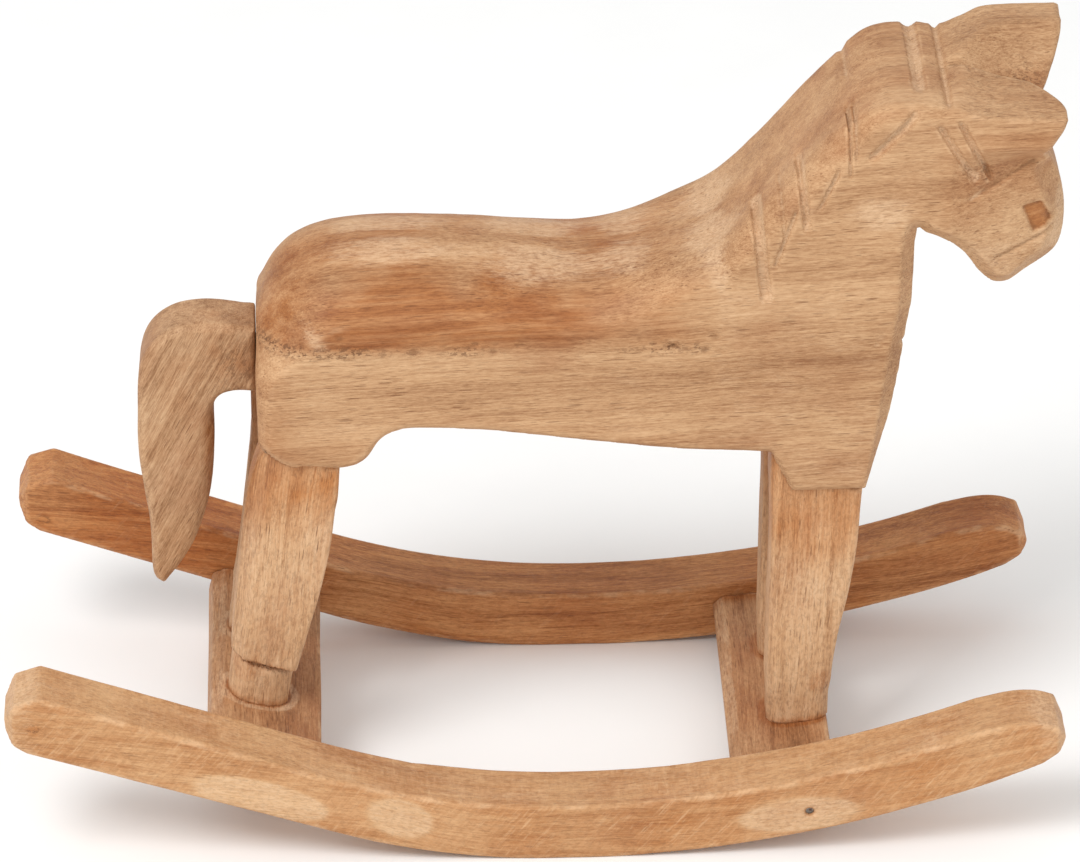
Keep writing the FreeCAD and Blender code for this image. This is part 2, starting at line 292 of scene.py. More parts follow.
def stains(dark, pale, pits_and_shadow, saw=0.0):
    return {"dark": unit(dark), "pale": unit(pale), "pits_and_shadow": pits_and_shadow, "saw": saw}


def carve(name, node, shape, grain, stain, material, pitch, fine=(None, None, None)):
    """Makes the visible piece for a CAD node: its surface, grain directions, stains and painted shade.

    The stain function gives the amounts of dirt mixed with painted shade, scuffs, pits mixed with painted
    shadow and saw marks; the wood material reads them.
    """
    low, high = box_mm(node)
    vertices, quads = surface_net(shape, low, high, pitch, fine)
    vertices = settle(shape, vertices)
    vertices = np.clip(vertices, np.array(cad_low) / MM, np.array(cad_high) / MM)
    bend, normals = bend_of(vertices, quads)
    mesh = bpy.data.meshes.new(name)
    mesh.vertices.add(len(vertices))
    mesh.vertices.foreach_set("co", (vertices * MM).ravel())
    mesh.loops.add(quads.size)
    mesh.loops.foreach_set("vertex_index", quads.ravel())
    mesh.polygons.add(len(quads))
    mesh.polygons.foreach_set("loop_start", np.arange(0, quads.size, 4))
    mesh.polygons.foreach_set("use_smooth", np.ones(len(quads), bool))
    mesh.update(calc_edges=True)
    mesh.validate()
    values = mesh.attributes.new("grain", "FLOAT_VECTOR", "POINT")
    values.data.foreach_set("vector", grain(vertices).astype(np.float32).ravel())
    marks = stain(vertices, normals)
    # The bend becomes the edge amount: it gives paler convex edges (partly wear, partly a painted
    # highlight) and painted shade in hollows.
    marks["edge"] = np.clip(bend / 0.12, -1.0, 1.0)
    for key, amount in marks.items():
        layer = mesh.attributes.new(key, "FLOAT", "POINT")
        layer.data.foreach_set("value", np.full(len(vertices), amount, np.float32))
    piece = bpy.data.objects.new(name, mesh)
    bpy.context.scene.collection.objects.link(piece)
    mesh.materials.append(material)
    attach(piece, BODY)
    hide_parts(node)


# ------------------------------------------------------------------ materials

def linear(red, green, blue):
    """A colour given as 0 to 255 screen values."""
    return tuple((c / 255.0 / 12.92 if c < 11 else ((c / 255.0 + 0.055) / 1.055) ** 2.4)
                 for c in (red, green, blue)) + (1.0,)


class Nodes:
    """Adds nodes to a material; a link is passed as a socket and a constant as a value.

    Mix and ramp take a constant colour as 0 to 255 screen values.
    """

    def __init__(self, name):
        self.material = bpy.data.materials.new(name)
        self.material.use_nodes = True
        self.tree = self.material.node_tree
        self.shader = self.tree.nodes["Principled BSDF"]

    def put(self, socket, value):
        if isinstance(value, bpy.types.NodeSocket):
            self.tree.links.new(value, socket)
        else:
            socket.default_value = value

    def add(self, kind, inputs, out=0, **settings):
        node = self.tree.nodes.new("ShaderNode" + kind)
        for key, value in settings.items():
            setattr(node, key, value)
        for key, value in inputs.items():
            self.put(node.inputs[key], value)
        return node.outputs[out]

    def attribute(self, name, out="Fac"):
        return self.add("Attribute", {}, out, attribute_name=name)

    def maths(self, operation, a, b=0.0, c=0.0, clamp=False):
        return self.add("Math", {0: a, 1: b, 2: c}, operation=operation, use_clamp=clamp)

    def times(self, a, b, clamp=False):
        return self.maths("MULTIPLY", a, b, clamp=clamp)

    def scaled_sum(self, a, scale, rest):
        """a * scale + rest"""
        return self.maths("MULTIPLY_ADD", a, scale, rest)

    def bump(self, strength, distance, height):
        return self.add("Bump", {"Strength": strength, "Distance": distance, "Height": height})

    def place(self):
        """Object coordinates, in metres."""
        return self.add("TexCoord", {}, "Object")

    def surface(self, inputs):
        for key, value in inputs.items():
            self.put(self.shader.inputs[key], value)
        return self.material

    def stretched(self, place, scale, offset=(0.0, 0.0, 0.0)):
        return self.add("VectorMath", {0: place, 1: scale, 2: offset}, operation="MULTIPLY_ADD")

    def noise(self, place, detail=2.0, roughness=0.5, out=0):
        return self.add("TexNoise", {"Vector": place, "Scale": 1.0, "Detail": detail,
                                     "Roughness": roughness}, out)

    def between(self, value, low, high, to_low=0.0, to_high=1.0):
        return self.add("MapRange", {"Value": value, "From Min": low, "From Max": high,
                                     "To Min": to_low, "To Max": to_high},
                        interpolation_type="SMOOTHSTEP")

    def mix(self, amount, a, b, blend="MIX"):
        node = self.tree.nodes.new("ShaderNodeMix")
        node.data_type = "RGBA"
        node.blend_type = blend
        self.put(node.inputs[0], amount)
        for socket, colour in ((6, a), (7, b)):
            self.put(node.inputs[socket], linear(*colour) if isinstance(colour, tuple) else colour)
        return node.outputs[2]

    def ramp(self, value, stops):
        node = self.tree.nodes.new("ShaderNodeValToRGB")
        stops = [(place, linear(*colour)) for place, colour in stops]
        marks = node.color_ramp.elements
        marks[0].position, marks[0].color = stops[0]
        marks[1].position, marks[1].color = stops[-1]
        for place, colour in stops[1:-1]:
            marks.new(place).color = colour
        self.put(node.inputs[0], value)
        return node.outputs[0]


def wood(name, light, mid, deep, figure=0.07, wander=7.0, pore_share=1.0, streak=0.4, contrast=1.0,
         saw_slope=None, shift=(0.0, 0.0, 0.0)):
    """Bare hand-carved hardwood: figure, streaks, fibres, pore dashes, dirt mixed with painted shade,
    scuffs, paler edges that are partly wear and partly a painted highlight, painted shade in hollows, pits
    mixed with painted shadow, and saw marks.

    Wander is how far the grain bends, in millimetres; figure and streak are how many times a millimetre
    the wood changes across the grain. The grain attribute has the grain along its first axis.
    """
    n = Nodes(name)

    def along_grain(place, along, across, detail, roughness=0.5, offset=(0.0, 0.0, 0.0)):
        return n.noise(n.stretched(place, (along, across, across), offset), detail, roughness)

    def cells(along, across):
        return n.add("TexVoronoi", {"Vector": n.stretched(warped, (along, across, across)), "Scale": 1.0,
                                    "Randomness": 1.0}, "Distance")

    grain = n.stretched(n.attribute("grain", "Vector"), (1.0, 1.0, 1.0), shift)
    drift = n.noise(n.stretched(grain, (0.011, 0.035, 0.035)), 2.0, 0.5, 1)
    drift = n.add("VectorMath", {0: drift, 1: (0.5, 0.5, 0.5)}, operation="SUBTRACT")
    warped = n.stretched(drift, (0.0, wander, wander), grain)
    broad = along_grain(warped, 0.007, figure, 3.0, 0.55)
    streaks = along_grain(warped, 0.018, streak, 4.0, 0.62)
    fibres = along_grain(warped, 0.07, 2.3, 3.0, 0.65)
    hairs = along_grain(warped, 0.16, 5.5, 2.0, 0.6)
    fuzz = along_grain(grain, 0.45, 1.5, 4.0, 0.72)
    tone = 0.5
    for layer, share in ((broad, 0.85), (streaks, 0.75), (fibres, 0.85), (hairs, 0.6), (fuzz, 0.8)):
        tone = n.scaled_sum(n.maths("SUBTRACT", layer, 0.5), share * contrast, tone)
    colour = n.ramp(tone, [(0.12, deep), (0.5, mid), (0.88, light)])

    patch = along_grain(grain, 0.028, 0.05, 3.0, 0.6, (7.3, 1.9, 4.1))
    colour = n.mix(n.between(patch, 0.48, 0.72, 0.0, 0.25), colour, (190, 128, 74), "MULTIPLY")

    # The dark amount is dirt, and also painted shade where a stain function darkens a place that lies in
    # shade; it is multiplied in here.
    dirt_and_shade = n.attribute("dark")
    dirt_and_shade_grain = n.between(streaks, 0.3, 0.7, 1.15, 0.7)
    dirt_and_shade = n.times(dirt_and_shade, dirt_and_shade_grain, clamp=True)
    colour = n.mix(dirt_and_shade, colour, n.mix(1.0, colour, (226, 190, 152), "MULTIPLY"))

    scratches = along_grain(warped, 0.13, 1.7, 4.0, 0.75, (3.1, 8.2, 0.4))
    smear = along_grain(grain, 0.09, 0.16, 3.0, 0.6, (1.1, 0.2, 5.4))
    scuff = n.scaled_sum(smear, 0.6, n.times(scratches, 0.7))
    scuff = n.between(n.scaled_sum(n.attribute("pale"), 0.42, scuff), 0.76, 1.12)
    scuff = n.times(scuff, n.times(n.attribute("pale"), 1.3, clamp=True))
    scuff = n.times(scuff, n.between(fuzz, 0.32, 0.62, 0.35, 1.0))
    colour = n.mix(n.times(scuff, 0.58), colour, (222, 188, 152))

    # Convex edges are lightened: partly wear, partly a painted highlight along the edges.
    edge = n.attribute("edge")
    wear_and_highlight = n.times(n.between(edge, 0.15, 0.9), n.between(smear, 0.44, 0.64, 0.12, 1.0))
    colour = n.mix(n.times(wear_and_highlight, 0.5), colour, (226, 186, 145))
    # Painted shade: hollows and creases are darkened, less so where the wood is scuffed pale.
    sunk = n.between(n.times(edge, -1.0), 0.12, 0.85)
    sunk = n.times(sunk, n.maths("SUBTRACT", 1.0, n.attribute("pale"), clamp=True))
    colour = n.mix(n.times(sunk, 0.55), colour, (118, 76, 44))

    where = n.between(along_grain(warped, 0.02, 0.12, 2.0, offset=(9.0, 3.0, 1.0)), 0.36, 0.6)
    pores = n.times(n.between(cells(0.075, 1.1), 0.11, 0.21, 1.0, 0.0), where)
    fine = n.times(n.between(cells(0.16, 2.4), 0.13, 0.26, 1.0, 0.0), 0.55)
    pores = n.maths("MAXIMUM", pores, fine)
    colour = n.mix(n.times(pores, 0.62 * pore_share), colour, (110, 66, 36))

    # Dark pits; this amount also carries painted shadow under the step of the rear legs.
    pits_and_shadow = n.attribute("pits_and_shadow")
    pit_noise = along_grain(grain, 0.55, 0.9, 3.0, 0.7, (2.0, 2.0, 2.0))
    pits_and_shadow = n.times(pits_and_shadow, n.between(pit_noise, 0.5, 0.6), clamp=True)
    colour = n.mix(n.times(pits_and_shadow, 0.72), colour, (92, 56, 32))

    height = n.scaled_sum(fibres, 0.30, n.times(hairs, 0.16))
    height = n.scaled_sum(streaks, 0.3, n.scaled_sum(fuzz, 0.45, height))
    height = n.scaled_sum(pores, -0.5, height)
    height = n.scaled_sum(pits_and_shadow, -0.9, height)
    height = n.scaled_sum(scuff, 0.15, height)
    if saw_slope is not None:
        place = n.place()
        turned = n.add("Mapping", {"Vector": place, "Rotation": (0.0, saw_slope, 0.0)})
        marks = n.noise(n.stretched(turned, (1300.0, 230.0, 170.0)), 4.0, 0.65)
        coarse = n.noise(n.stretched(turned, (380.0, 90.0, 60.0), (5.0, 5.0, 5.0)), 3.0, 0.6)
        both = n.scaled_sum(marks, 0.6, n.times(coarse, 0.4))
        saw = n.times(n.attribute("saw"), both)
        saw = n.maths("SUBTRACT", saw, n.times(n.attribute("saw"), 0.5))
        colour = n.mix(n.between(saw, 0.0, 0.17, 0.0, 0.5), colour, (222, 184, 142))
        colour = n.mix(n.between(saw, 0.02, -0.17, 0.0, 0.6), colour, (164, 114, 70))
        height = n.scaled_sum(saw, 0.8, height)
    polish = n.maths("SUBTRACT", streaks, n.times(dirt_and_shade, 0.25))
    return n.surface({"Base Color": colour, "Normal": n.bump(0.55, 0.00035, height),
                      "Roughness": n.between(polish, 0.1, 0.8, 0.5, 0.74),
                      "IOR": 1.42, "Specular IOR Level": 0.35})


def plain_wood(name, axis):
    """Turned dowel wood, with its grain along one axis of the model."""
    n = Nodes(name)
    place = n.place()
    scale = [1600.0, 1600.0, 1600.0]
    scale[axis] = 45.0
    fibre = n.noise(n.stretched(place, tuple(scale)), 3.0, 0.6)
    rings = n.noise(n.stretched(place, tuple(s * 0.2 for s in scale)), 2.0, 0.5)
    tone = n.scaled_sum(fibre, 0.5, n.times(rings, 0.5))
    colour = n.ramp(tone, [(0.3, (176, 132, 88)), (0.55, (212, 174, 130)), (0.75, (228, 198, 158))])
    return n.surface({"Base Color": colour, "Normal": n.bump(0.4, 0.0002, fibre),
                      "Roughness": n.between(fibre, 0.2, 0.8, 0.5, 0.7)})


def steel(name):
    """Dull zinc-plated steel with stains of rust."""
    n = Nodes(name)
    place = n.place()
    cloud = n.noise(n.stretched(place, (420.0, 420.0, 420.0)), 4.0, 0.65)
    scratch = n.noise(n.stretched(place, (2600.0, 500.0, 2600.0)), 3.0, 0.6)
    rust = n.between(cloud, 0.52, 0.68)
    colour = n.mix(rust, n.mix(scratch, (120, 118, 114), (172, 170, 165)), (96, 58, 36))
    return n.surface({"Base Color": colour,
                      "Normal": n.bump(0.4, 0.00015, n.scaled_sum(cloud, 0.5, scratch)),
                      "Metallic": n.maths("SUBTRACT", 1.0, n.times(rust, 0.9)),
                      "Roughness": n.between(cloud, 0.3, 0.7, 0.38, 0.66)})


BODY_WOOD = wood("body_grain", (208, 169, 129), (184, 142, 103), (147, 103, 68))
TAIL_WOOD = wood("tail_grain", (204, 168, 131), (181, 142, 106), (142, 104, 70),
                 figure=0.16, wander=5.0, streak=0.7, contrast=1.15, shift=(40.0, 11.0, 3.0))
LEG_WOOD = wood("leg_grain", (222, 185, 146), (204, 161, 120), (164, 118, 79),
                figure=0.1, streak=0.6, shift=(13.0, 71.0, 20.0))
RUNNER_WOOD = wood("runner_grain", (222, 182, 138), (204, 161, 117), (168, 120, 76),
                   figure=0.11, wander=9.0, contrast=0.8, pore_share=0.55, saw_slope=-0.7,
                   shift=(90.0, 3.0, 41.0))
# A darker, redder copy of the runner wood for the far runner: painted shade, as the far runner's inner face
# lies in shade under the horse.
SHADED_FAR_RUNNER_WOOD = wood("far_runner_grain", (216, 164, 112), (193, 138, 90), (150, 97, 56),
                       figure=0.13, wander=9.0, streak=0.45, contrast=1.2, saw_slope=-0.7,
                       shift=(190.0, 33.0, 11.0))
BOARD_WOOD = wood("board_grain", (198, 154, 113), (174, 128, 90), (132, 91, 60),
                  figure=0.12, streak=0.55, shift=(20.0, 31.0, 77.0))


# -------------------------------------------------------------------- shapes

def cylinder(points, centre, axis, radius, low, high):
    """Signed distance to a cylinder along one axis."""
    others = [a for a in range(3) if a != axis]
    away = np.hypot(points[:, others[0]] - centre[0], points[:, others[1]] - centre[1]) - radius
    return np.maximum(away, np.maximum(low - points[:, axis], points[:, axis] - high))


def bored(shape, node, axis, play=0.1):
    """The shape with a hole for a round CAD node that lies along one axis."""
    low, high = box_mm(node)
    others = [a for a in range(3) if a != axis]
    centre = [0.5 * (low[a] + high[a]) for a in others]
    radius = 0.5 * (high[others[0]] - low[others[0]]) + play

    def holed(points):
        return np.maximum(shape(points), -cylinder(points, centre, axis, radius,
                                                    low[axis] - play, high[axis] + play))
    return holed


def rounded_plate(inside, across, wide, high):
    """Meets a flat plate's face and its outline in an elliptical corner."""
    a = (across + wide) / wide
    b = (inside + high) / high
    ua, ub = np.maximum(a, 0.0), np.maximum(b, 0.0)
    reach = np.hypot(ua, ub)
    scale = (wide * ua ** 2 + high * ub ** 2) / np.maximum(ua ** 2 + ub ** 2, 1e-9)
    return np.where(reach > 0.02, (reach - 1.0) * scale, np.maximum(across, inside))


def cut_depth(x, z, start, end, half_low, half_high, depth, flat=0.0):
    """Depth of a carved line; it has its own width on each side, and a flat bottom if flat is above 0."""
    start, end = np.array(start), np.array(end)
    run = end - start
    length = math.hypot(*run)
    along = ((x - start[0]) * run[0] + (z - start[1]) * run[1]) / length
    off = ((x - start[0]) * run[1] - (z - start[1]) * run[0]) / length
    share = np.where(off < 0.0, -off / half_low, off / half_high)
    wall = unit((1.0 - share) / (1.0 - flat))
    taper = step(along, -0.8, 3.0) * fall(along, length - 3.0, length + 0.8)
    return depth * wall * taper


# Side view of the body, as in the CAD
body_side = Outline(chained(
    [(-79.4, 134.0), (-79.2, 149.5)],
    [(-76.2, 157.8), (-70.6, 164.2), (-62.0, 168.6), (-50.0, 170.7), (-34.0, 170.9), (-18.0, 170.3),
     (-2.0, 168.9), (12.0, 168.0), (26.0, 168.7), (38.0, 170.9), (50.0, 174.9), (57.0, 180.1),
     (67.0, 191.0), (76.0, 201.3), (84.0, 210.3), (89.0, 215.0)],
    [(92.0, 217.8), (97.0, 220.9), (103.0, 222.6), (112.0, 222.8), (118.0, 222.0), (124.0, 224.5),
     (131.6, 226.9), (141.6, 227.6), (151.6, 227.8)],
    [(153.2, 226.6)],
    [(152.4, 221.9), (149.8, 214.5), (146.6, 208.8), (145.4, 205.6)],
    [(148.2, 199.2), (150.8, 191.9), (152.1, 183.9), (152.0, 176.0), (149.7, 169.8), (142.6, 165.1),
     (137.6, 162.6), (134.6, 162.2), (131.0, 163.2), (126.7, 167.5), (122.8, 173.0), (119.3, 176.7),
     (114.9, 179.4), (111.4, 180.9)],
    [(109.6, 182.6)],
    [(108.9, 176.0), (108.6, 160.9), (107.0, 147.9), (105.2, 134.8), (102.6, 121.6), (99.5, 108.4),
     (96.7, 98.2)],
    [(74.5, 98.2)],
    [(68.2, 111.2)],
    [(44.0, 113.0), (19.0, 115.7), (0.0, 118.4), (-15.0, 120.2), (-28.0, 121.1), (-37.0, 121.1),
     (-43.0, 118.4), (-47.4, 112.2), (-51.0, 109.3), (-55.5, 108.3)],
    [(-68.5, 108.9)],
    [(-74.4, 110.4), (-78.2, 113.6), (-79.3, 117.0)]))
muzzle_square = Outline(polygon((138.9, 188.2), (144.6, 189.4), (148.3, 181.9), (142.5, 179.2)))

# The recesses that the legs go up into, behind a thin skin of the body
STUB_Z = 98.2               # lower end of the body in front of the front legs
LAP_INNER, LAP_OUTER = 10.0, 27.0
LAP_PLAY = 0.12
front_lap = Outline(polygon((69.0, 120.0), (69.0, 90.0), (95.0, 90.0), (95.6, STUB_Z), (92.0, STUB_Z),
                            (92.0, 120.0)))
REAR_LAP_FRONT = ((-59.0, 120.0), (-59.0, 108.6), (-55.6, 108.6), (-59.0, 95.0))
rear_lap = {-1: Outline(polygon((-76.0, 113.0), (-76.0, 120.0), *REAR_LAP_FRONT, (-78.7, 95.0))),
            1: Outline(polygon((-81.3, 100.0), (-81.3, 120.0), *REAR_LAP_FRONT, (-81.9, 95.0)))}

# Carved lines on the sides: start, end, width below and above, depth, and the flat part of the bottom
CUTS = [((62.2, 193.0), (65.6, 161.5), 3.0, 0.9, 2.0, 0.45),
        ((74.3, 210.5), (77.0, 184.0), 2.3, 0.6, 2.0, 0.2),
        ((68.2, 172.0), (74.8, 191.5), 0.8, 0.9, 1.4),
        ((80.7, 190.5), (86.9, 204.5), 0.8, 0.9, 1.4),
        ((89.2, 221.0), (89.5, 201.0), 0.7, 0.6, 1.7),
        ((91.0, 220.0), (91.0, 205.0), 0.9, 0.5, 1.2),
        ((94.2, 206.6), (108.2, 221.6), 1.0, 2.2, 1.6, 0.2),
        ((69.8, 199.5), (71.2, 181.0), 1.2, 0.5, 1.0),
        ((113.6, 217.2), (125.2, 197.6), 2.0, 0.7, 1.6, 0.2),
        ((119.4, 218.6), (129.7, 197.6), 1.8, 0.6, 1.6, 0.2),
        ((122.0, 191.5), (143.3, 202.9), 2.4, 1.0, 1.0),
        ((130.5, 172.1), (149.6, 180.3), 0.8, 1.1, 1.1)]
NOSE_HOLLOW = (126.2, 200.6)
HOLLOWS = [(0.55, NOSE_HOLLOW, (3.2, 2.6)), (0.9, (52.8, 170.4), (3.6, 5.6)),
           (0.5, (98.0, 189.0), (11.0, 9.0))]
BACK_SCUFFS = [(1.5, (-42.0, -9.0), (17.0, 6.0)), (1.25, (2.0, -12.0), (18.0, 10.0)),
               (0.9, (28.0, -10.0), (8.0, 12.0)), (1.0, (51.0, -12.0), (11.0, 12.0))]
SIDE_SCUFFS = [(0.62, (101.0, 189.0), (9.0, 6.0)), (1.1, (151.0, 184.0), (2.6, 13.0)),
               (0.8, (52.8, 170.4), (4.0, 6.0))]
BRIDLE_X = (109.6, 117.2)   # the two grooves over the crown
POLL_X = 90.6               # a step in the crest on the left half

PLANK_HALF = 29.8
CHEEK_X = 118.0             # the head narrows from here to the muzzle
RIDGE_Z = 148.0             # where the rounded back meets the flat sides

dice = np.random.default_rng(5)
RIDGE_PITS = [(x, 148.5 + dice.normal(0.0, 1.6), dice.uniform(0.5, 1.3), dice.uniform(0.25, 0.7))
              for x in np.concatenate([dice.uniform(-60.0, 52.0, 34), dice.uniform(96.0, 108.0, 3)])]
VALLEY_PITS = [(x, dice.uniform(-7.0, 6.0), dice.uniform(0.5, 1.0), dice.uniform(0.3, 0.7))
               for x in dice.uniform(124.0, 142.0, 14)]


def groove(x, centre, half_width):
    """A V groove of depth 1."""
    return unit(1.0 - np.abs(x - centre) / half_width)


def carved_depth(x, y, z):
    """Everything that the gouge took out of the faces and the crest, as a depth in millimetres."""
    on_side = np.where(y < 0.0, step(-y, 10.0, 16.0), step(y, 25.5, 28.5))
    side = np.max([cut_depth(x, z, *cut) for cut in CUTS], axis=0)
    side += 1.1 * step(-muzzle_square(x, z), -0.35, 0.45) * step(np.abs(y), 12.0, 15.0)
    side += bumps(x, z, HOLLOWS)
    over = step(z, 206.0, 212.0)
    crest = 1.6 * groove(x, BRIDLE_X[0], 2.3) ** 0.7 * over * step(y, -22.0, -12.0)
    crest += 0.9 * groove(x, POLL_X, 1.5) * over * step(y, -2.0, 8.0)
    crest += 1.4 * groove(x, BRIDLE_X[1], 1.5) * over * step(y, -27.5, -22.0)
    depth = side * on_side + crest
    for px, pz, wide, deep in RIDGE_PITS:
        depth += deep * bump(x, z, (px, pz), (1.6 * wide, wide)) * on_side
    for px, py, wide, deep in VALLEY_PITS:
        depth += deep * bump(x, y, (px, py), (wide, wide)) * over
    return depth


def body_shape(points):
    x, y, z = points.T
    across = np.abs(y)
    inside = body_side(x, z)
    muzzle = step(z, 150.0, 160.0) * fall(z, 202.0, 210.0)
    half = PLANK_HALF - 9.8 * unit((x - CHEEK_X) / 35.0) * muzzle
    middle = np.interp(x, [-79.0, -60.0, -40.0, 60.0, 80.0, 100.0, 112.0],
                       [146.0, 138.0, 134.0, 138.0, 158.0, 196.0, 204.0])
    reach = np.interp(x, [-79.0, -60.0], [13.0, 6.0])
    upper = step(z, middle - reach, middle + reach)
    rump = fall(x, -76.0, -66.0)
    neck = step(x, 12.0, 54.0)
    head = step(x, 84.0, 100.0)
    tip = step(x, 124.0, 132.0)
    wide_top, high_top = [(back * (1.0 - neck) + nape * neck * (1.0 - head) + 5.0 * head) * (1.0 - tip)
                          + 2.4 * tip for back, nape in ((29.6, 10.5), (21.0, 8.5))]
    face = step(x, 134.0, 142.0) * fall(z, 200.0, 207.0)
    low_edge = 1.2 + 4.3 * rump
    wide = upper * wide_top + (1.0 - upper) * low_edge
    high = upper * high_top + (1.0 - upper) * low_edge
    swell = 1.3 * upper * (1.0 - neck)
    solid = rounded_plate(inside, across - half - swell, wide, high)
    solid = smooth_max(solid, across - half, 0.5)

    floor = 224.0 - (x - 116.0) * 20.0 / 34.0
    steep = np.where(y > 0.0, np.interp(x, [116.0, 129.0, 150.0], [1.0, 0.85, 1.5]),
                     np.interp(x, [116.0, 141.0, 147.0, 152.0], [1.5, 1.35, 0.95, 0.62]))
    valley = (z - floor - steep * across) / np.sqrt(1.35 + steep ** 2)
    solid = smooth_max(solid, valley, 1.6)
    right_top = np.interp(x, [108.0, 120.0, 131.0, 143.0, 156.0], [224.0, 221.6, 219.4, 218.9, 218.4])
    right_top += 0.12 * (y + 27.0)
    solid = np.where(y < 2.0, smooth_max(solid, np.maximum(z - right_top, -9.0), 1.2), solid)
    bevel = 0.75 * (z - 226.3) + 0.66 * (y - 29.0) - 20.0 * fall(x, 108.0, 116.0)
    solid = smooth_max(solid, np.where(y > 0.0, bevel, -9.0), 0.8)
    size = 2.0 + 2.6 * step(x, 96.0, 101.0) + 1.6 * face
    facet = 0.707 * (inside + across - half + size) - 12.0 * upper - 6.0 * rump
    solid = smooth_max(solid, facet, 0.5)

    relief = 0.30 * (rough(points, (26.0, 14.0, 14.0)) - 0.6)
    relief += 0.13 * (chips(points, (9.0, 6.0, 6.0)) - 0.6)
    relief += 0.06 * rough(points, (3.5, 2.6, 2.6))
    solid = solid - relief + carved_depth(x, y, z)
    solid = np.maximum(solid, STUB_Z - z)
    for side in (-1, 1):
        band = np.maximum(LAP_INNER - side * y, side * y - LAP_OUTER) - LAP_PLAY
        for lap in (front_lap, rear_lap[side]):
            solid = np.maximum(solid, -np.maximum(lap(x, z) - LAP_PLAY, band))
    return solid


for dowel in ("front_right", "front_left", "rear_right", "rear_left"):
    body_shape = bored(body_shape, dowel + "_leg_dowel", 2)
body_shape = bored(body_shape, "tail_dowel", 0)


def body_grain(v):
    """Along the plank; it lifts a little with the neck."""
    return np.column_stack([v[:, 0], v[:, 2] - 0.05 * v[:, 0], v[:, 1]])


def body_stain(v, normals):
    x, y, z = v.T
    right = y < 0.0
    cloud = spread(v, 16.0)
    ridge = step(z, 146.0, 150.0)
    crease = RIDGE_Z + 11.0 * step(x, 8.0, 50.0)
    band = hill(z, 157.0, 8.5) * step(z, crease - 2.0, crease + 1.0)
    dark = 1.25 * band * step(x, -66.0, -40.0) * fall(x, 5.0, 45.0) * (0.85 + 0.5 * cloud)
    dark += 0.7 * ridge * fall(x, 40.0, 58.0) * (0.7 + cloud)
    nape = step(x, 44.0, 60.0) * step(normals[:, 2], 0.1, 0.5) * fall(x, 112.0, 124.0)
    dark += 0.35 * nape * (0.6 + cloud)
    cheek = step(x, 110.0, 124.0) * step(z, 180.0, 192.0) * fall(z, 212.0, 220.0)
    dark += 0.5 * cheek * (0.6 + cloud)
    dark += 0.4 * fall(x, 38.0, 52.0) * fall(z, 108.0, 128.0) * (0.4 + cloud)
    dark += 0.35 * fall(x, -79.0, -62.0) * (0.6 + cloud)
    dark += 0.35 * bump(x, z, (100.0, 106.0), (9.0, 8.0))
    clean = step(x, 50.0, 54.0) * fall(z, 162.0, 170.0) * fall(x, 96.0, 104.0)
    dark = dark * (1.0 - 0.8 * clean)
    across = np.where(right, y, -0.8 * y - 4.0)
    pale = bumps(x, across, BACK_SCUFFS) * step(z, 158.0, 166.0) * fall(z, 190.0, 196.0)
    pale += 0.8 * bump(x + 0.6 * (z - 150.0), z, (-61.0, 150.0), (4.0, 8.0)) * ridge
    pale += bumps(x, z, SIDE_SCUFFS) + 0.42 * clean
    pale += 0.6 * step(x - 0.12 * z, 84.0, 90.0) * fall(z, 176.0, 184.0)
    pale += 0.42 * (1.0 - ridge) * step(cloud, -0.1, 0.4) * fall(x, 40.0, 60.0)
    cut = unit(carved_depth(x, y, z) * 0.9)
    pale += 1.15 * cut * fall(x, 126.0, 130.0) * step(x, 56.0, 60.0)
    pits_and_shadow = 1.4 * hill(z, 147.4, 1.7) * fall(x, 50.0, 60.0) * step(cloud, -0.35, 0.2)
    pits_and_shadow += 0.55 * bump(x, z, NOSE_HOLLOW, (4.4, 3.4))
    pits_and_shadow += 0.25 * step(normals[:, 2], 0.6, 0.9) * step(x, CHEEK_X, 124.0)
    far_ear_root = bump(x, z, (142.0, 212.5), (6.0, 5.0)) * step(y, -6.0, 0.0) * fall(y, 14.0, 22.0)
    pits_and_shadow += 0.9 * far_ear_root
    # The nostril notch gets painted shade: its inside is darkened and kept free of scuffs.
    nostril_notch_shade = step(-muzzle_square(x, z), -0.2, 0.6)
    marks = stains(dark, pale * (1.0 - nostril_notch_shade), unit(pits_and_shadow))
    marks["dark"] += 1.2 * nostril_notch_shade
    return marks


# The grid is finer over the neck and the head, where the carving is
NECK_X, NECK_Z = 56.0, 158.0
body_pitch, head_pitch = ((1.09, 0.745))
carve("body", "body_block", body_shape, body_grain, body_stain, BODY_WOOD, body_pitch,
      ((NECK_X, head_pitch), None, (NECK_Z, head_pitch)))


# ---------------------------------------------------------------------- tail

tail_side = Outline(chained(
    [(-85.0, 145.5), (-95.0, 145.9), (-103.0, 144.3), (-109.0, 140.0), (-112.6, 133.0), (-113.8, 122.0),
     (-114.2, 104.0), (-112.8, 90.0), (-111.2, 78.0), (-111.0, 62.0), (-107.7, 57.8)],
    [(-102.6, 65.2), (-97.2, 75.0), (-94.2, 84.0), (-92.6, 94.0), (-91.9, 106.0), (-91.6, 117.0),
     (-90.4, 121.4), (-86.4, 123.2), (-79.3, 123.3)],
    [(-79.3, 144.0)]))


